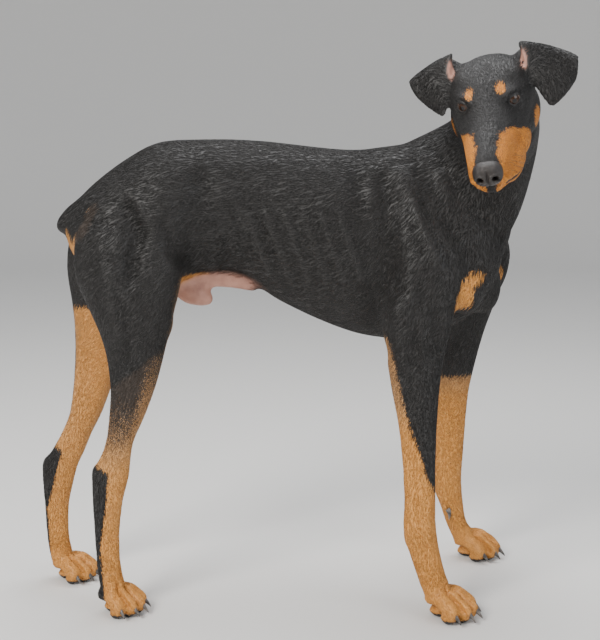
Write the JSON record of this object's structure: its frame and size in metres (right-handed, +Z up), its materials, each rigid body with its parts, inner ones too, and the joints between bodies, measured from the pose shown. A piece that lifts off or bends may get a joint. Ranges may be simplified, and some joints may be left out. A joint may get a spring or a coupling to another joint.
{
  "type": "doberman pinscher",
  "caption": "Life-size standing black and rust short-haired dog with drop ears and a docked tail, its head turned to its right.",
  "frame": {"origin": "bottom centre of the bounding box: the middle of the object from side to side and from front to back, on the floor under the paws", "axes": "+X towards the chest, +Y to the dog's left, +Z up; the head looks towards -Y"},
  "size_m": [0.7722, 0.4856, 0.8201],
  "materials": {
    "coat": "short, flat, glossy black hair",
    "rust": "short, flat rust brown hair",
    "leather": "moist, finely grained black nose skin",
    "skin": "thin pinkish skin with sparse pale hair",
    "eye": "wet, clear, dark brown",
    "claw": "smooth dark horn"
  },
  "bodies": {
    "root": {"head": "coat", "ear_left": "coat", "ear_right": "coat", "neck": "coat", "chest": "coat", "loin": "coat", "rump": "coat", "tail": "coat", "thigh_left": "coat", "thigh_right": "coat", "gaskin_left": "coat", "gaskin_right": "coat", "forearm_left": "rust", "forearm_right": "rust", "pastern_left": "rust", "pastern_right": "rust", "hock_left": "rust", "hock_right": "rust", "paw_front_right": "rust", "paw_front_left": "rust", "paw_hind_right": "rust", "paw_hind_left": "rust", "claw_front_right_1": "claw", "claw_front_right_2": "claw", "claw_front_right_3": "claw", "claw_front_right_4": "claw", "claw_front_left_1": "claw", "claw_front_left_2": "claw", "claw_front_left_3": "claw", "claw_front_left_4": "claw", "claw_hind_right_1": "claw", "claw_hind_right_2": "claw", "claw_hind_right_3": "claw", "claw_hind_right_4": "claw", "claw_hind_left_1": "claw", "claw_hind_left_2": "claw", "claw_hind_left_3": "claw", "claw_hind_left_4": "claw", "dewclaw_front_left": "claw", "dewclaw_front_right": "claw", "nose": "leather", "sheath": "skin", "eye_left": "eye", "eye_right": "eye"}
  },
  "joints": []
}
